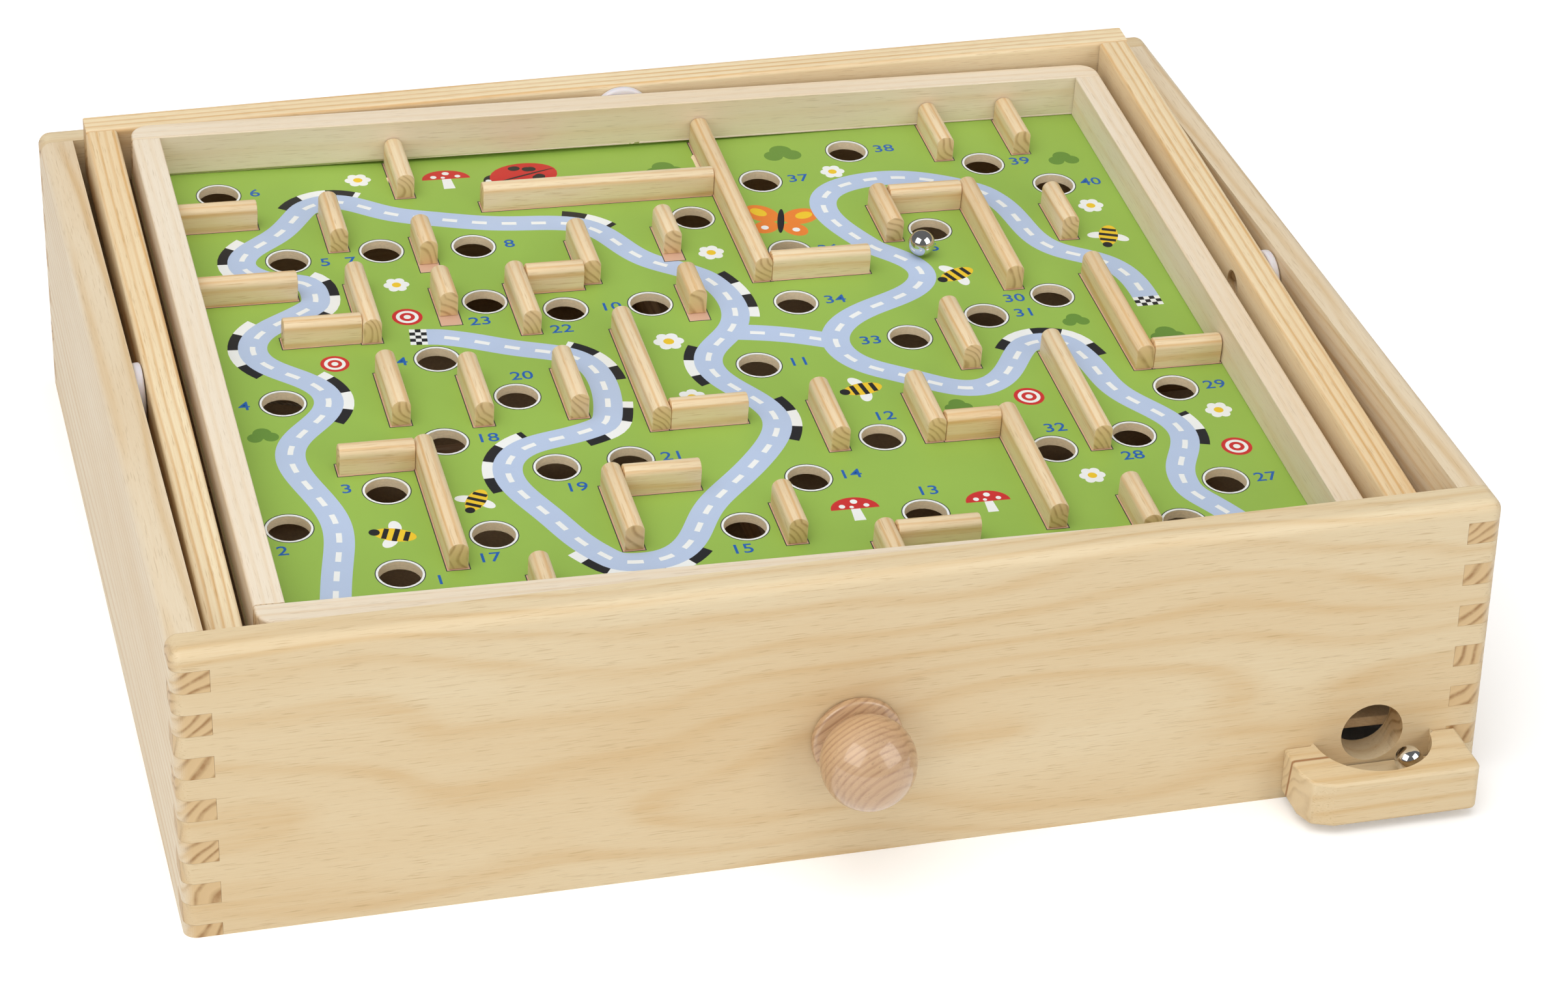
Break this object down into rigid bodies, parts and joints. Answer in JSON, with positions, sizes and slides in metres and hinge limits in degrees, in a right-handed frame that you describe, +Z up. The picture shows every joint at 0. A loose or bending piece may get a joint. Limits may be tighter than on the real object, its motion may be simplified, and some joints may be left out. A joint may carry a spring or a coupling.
{
  "type": "marble labyrinth game",
  "caption": "Wooden box with a gimballed maze tray, tilted by two knobs to steer a steel ball past drop holes to a catch block outside.",
  "frame": {"origin": "on the table, under the middle of the whole outline with the knobs and the raised ring", "axes": "+X to the right and +Y to the back, seen from the front knob; +Z up"},
  "size_m": [0.3862, 0.3378, 0.0986],
  "materials": {
    "pine": "sanded pine with a clear matt coat",
    "ring_pine": "sanded pine with straight grain",
    "pale_wood": "pale sanded wood, uncoated",
    "maze_pine": "pale sanded sticks, uncoated",
    "printed_board": "fibreboard under a printed satin sheet",
    "fibreboard": "raw brown fibreboard",
    "turned_beech": "turned and lacquered, glossy",
    "nylon": "moulded white plastic, satin",
    "steel": "polished steel ball",
    "spring_steel": "bright drawn wire",
    "cord": "twisted pale thread"
  },
  "bodies": {
    "box": {"front_board": "pine", "back_board": "pine", "left_board": "pine", "right_board": "pine", "sloped_floor": "fibreboard", "ball_catch": "pine", "left_pivot": "nylon", "right_pivot": "nylon", "ring_cord": "cord", "tray_cord": "cord", "ring_spring": "spring_steel", "tray_spring": "spring_steel"},
    "ring": {"ring_front_bar": "ring_pine", "ring_back_bar": "ring_pine", "ring_left_bar": "ring_pine", "ring_right_bar": "ring_pine", "front_pivot": "nylon", "back_pivot": "nylon"},
    "tray": {"tray_front_wall": "pale_wood", "tray_back_wall": "pale_wood", "tray_left_wall": "pale_wood", "tray_right_wall": "pale_wood", "playfield": "printed_board", "maze_wall_01": "maze_pine", "maze_wall_02": "maze_pine", "maze_wall_03": "maze_pine", "maze_wall_04": "maze_pine", "maze_wall_05": "maze_pine", "maze_wall_06": "maze_pine", "maze_wall_07": "maze_pine", "maze_wall_08": "maze_pine", "maze_wall_09": "maze_pine", "maze_wall_10": "maze_pine", "maze_wall_11": "maze_pine", "maze_wall_12": "maze_pine", "maze_wall_13": "maze_pine", "maze_wall_14": "maze_pine", "maze_wall_15": "maze_pine", "maze_wall_16": "maze_pine", "maze_wall_17": "maze_pine", "maze_wall_18": "maze_pine", "maze_wall_19": "maze_pine", "maze_wall_20": "maze_pine", "maze_wall_21": "maze_pine", "maze_wall_22": "maze_pine", "maze_wall_23": "maze_pine", "maze_wall_24": "maze_pine", "maze_wall_25": "maze_pine", "maze_wall_26": "maze_pine", "maze_wall_27": "maze_pine", "maze_wall_28": "maze_pine", "maze_wall_29": "maze_pine", "maze_wall_30": "maze_pine"},
    "front_knob": {"front_knob": "turned_beech", "front_rod": "turned_beech"},
    "side_knob": {"side_knob": "turned_beech", "side_rod": "turned_beech"},
    "play_ball": {"play_ball": "steel"},
    "return_ball": {"return_ball": "steel"}
  },
  "joints": [
    {"name": "ring_tilt", "type": "hinge", "parent": "box", "child": "ring", "pos_m": [-0.01315, 0.01315, 0.0765], "axis": [1, 0, 0], "range_deg": [-10, 1], "deforming": ["ring_cord", "ring_spring"]},
    {"name": "tray_tilt", "type": "hinge", "parent": "ring", "child": "tray", "pos_m": [-0.01315, 0.01315, 0.0765], "axis": [0, 0.9969, 0.0785], "range_deg": [-7, 4], "deforming": ["tray_cord", "tray_spring"]},
    {"name": "side_knob_turn", "type": "hinge", "parent": "box", "child": "side_knob", "pos_m": [-0.01315, 0.01315, 0.046], "axis": [1, 0, 0], "range_deg": [-81, 9]},
    {"name": "front_knob_turn", "type": "hinge", "parent": "box", "child": "front_knob", "pos_m": [-0.01315, 0.01315, 0.038], "axis": [0, 1, 0], "range_deg": [-70, 41]},
    {"name": "play_ball_roll", "type": "slide", "parent": "tray", "child": "play_ball", "axis": [0.9997, 0.0021, -0.0261], "range_m": [-0.013, 0.015]},
    {"name": "return_ball_roll", "type": "slide", "parent": "box", "child": "return_ball", "axis": [1, 0, 0], "range_m": [-0.018, 0.0015]}
  ],
  "couplings": [
    {"joint": "side_knob_turn", "follows": "ring_tilt", "ratio": 8},
    {"joint": "front_knob_turn", "follows": "tray_tilt", "ratio": 9.8}
  ]
}
